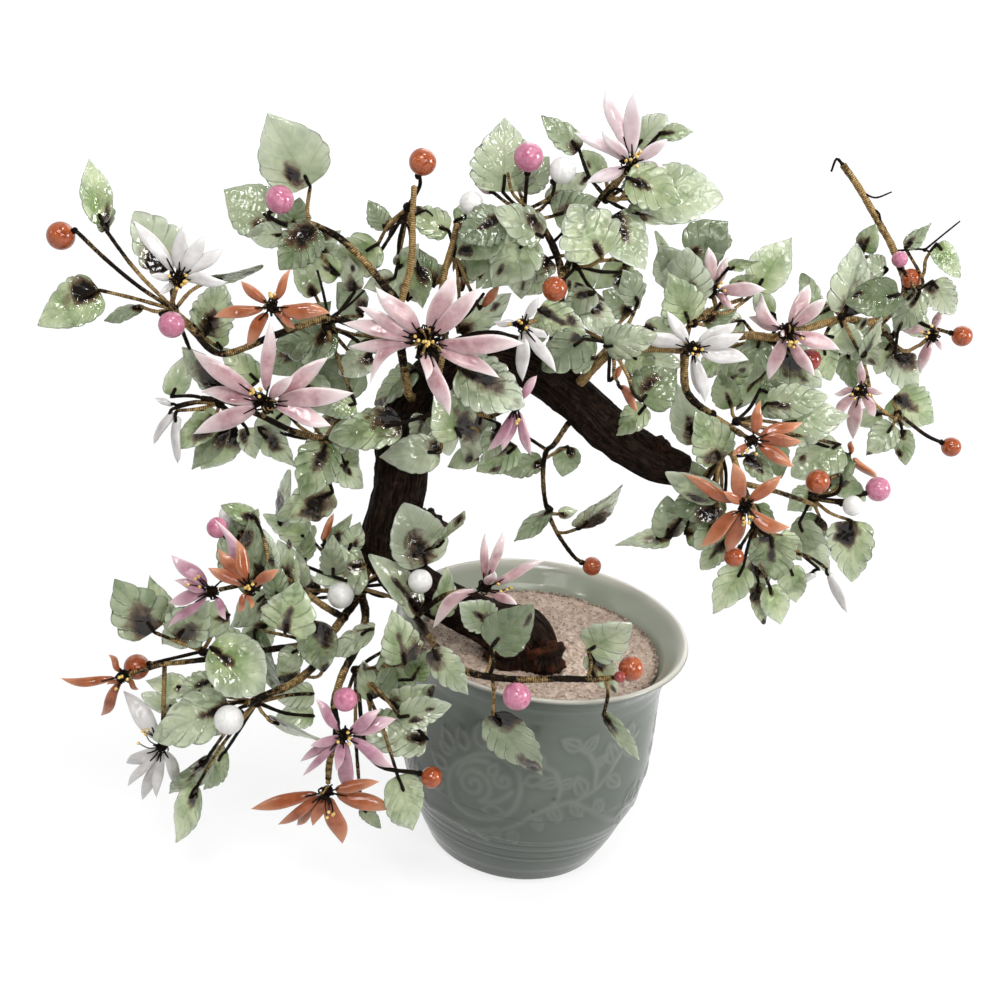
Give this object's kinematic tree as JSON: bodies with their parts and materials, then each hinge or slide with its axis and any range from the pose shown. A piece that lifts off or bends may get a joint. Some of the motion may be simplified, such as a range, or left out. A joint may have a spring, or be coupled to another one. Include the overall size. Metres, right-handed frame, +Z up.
{
  "type": "ornamental jade bonsai",
  "caption": "Ornamental bonsai tree: glass leaves, star-shaped flowers and beads on thread-wrapped wires, on an arching dark trunk set in sand in a round celadon bowl.",
  "frame": {"origin": "centre of the pot's flat foot, on the surface it stands on", "axes": "+Z up, +X to the right along the crown's widest spread, +Y away from the front view"},
  "size_m": [0.3952, 0.1553, 0.351],
  "materials": {
    "celadon": "glossy grey-green celadon glaze over a carved pattern",
    "sand": "matt pale sand with dark grains",
    "bark": "dark brown, grained, slightly waxed",
    "wrapped_wire": "brown silk thread wound on wire, with golden stretches",
    "leaf_glass": "pale green glass with dark smoky streaks, glossy",
    "pink_glass": "clouded pink glass, glossy",
    "orange_glass": "clouded orange glass, glossy",
    "white_glass": "milky white glass, glossy",
    "blush_glass": "pale pink glass with milky tips, glossy"
  },
  "bodies": {
    "root": {"bough_left": "wrapped_wire", "bough_low": "wrapped_wire", "bough_mid": "wrapped_wire", "bough_right": "wrapped_wire", "bough_side": "wrapped_wire", "bough_top": "wrapped_wire", "flower_centre_white": "white_glass", "flower_coral": "orange_glass", "flower_fan": "orange_glass", "flower_far_orange": "orange_glass", "flower_far_pink": "pink_glass", "flower_hanging": "pink_glass", "flower_heart": "pink_glass", "flower_inner_white": "white_glass", "flower_left_orange": "orange_glass", "flower_left_pink": "pink_glass", "flower_left_white": "white_glass", "flower_low_orange": "orange_glass", "flower_low_pink": "pink_glass", "flower_low_white": "white_glass", "flower_mauve": "pink_glass", "flower_right_orange": "orange_glass", "flower_right_pink": "pink_glass", "flower_rim": "pink_glass", "flower_summit": "blush_glass", "flower_tip_pink": "pink_glass", "flower_upper_right": "pink_glass", "pot": "celadon", "sand_bed": "sand", "spray_arc": "leaf_glass", "spray_centre": "leaf_glass", "spray_coral": "leaf_glass", "spray_crown": "leaf_glass", "spray_far_left": "leaf_glass", "spray_front": "leaf_glass", "spray_hanging": "leaf_glass", "spray_hook": "leaf_glass", "spray_inner": "leaf_glass", "spray_knee": "leaf_glass", "spray_left": "leaf_glass", "spray_left_mid": "leaf_glass", "spray_limb_end": "leaf_glass", "spray_low_front": "leaf_glass", "spray_low_mid": "leaf_glass", "spray_mid": "leaf_glass", "spray_pot_side": "leaf_glass", "spray_right_base": "leaf_glass", "spray_right_far": "leaf_glass", "spray_right_low": "leaf_glass", "spray_right_mid": "leaf_glass", "spray_right_top": "leaf_glass", "spray_side": "leaf_glass", "spray_summit": "leaf_glass", "spray_top": "leaf_glass", "spray_umbel": "leaf_glass", "spray_under": "leaf_glass", "spray_upper_right": "leaf_glass", "spray_upright": "leaf_glass", "trunk": "bark"}
  },
  "joints": []
}
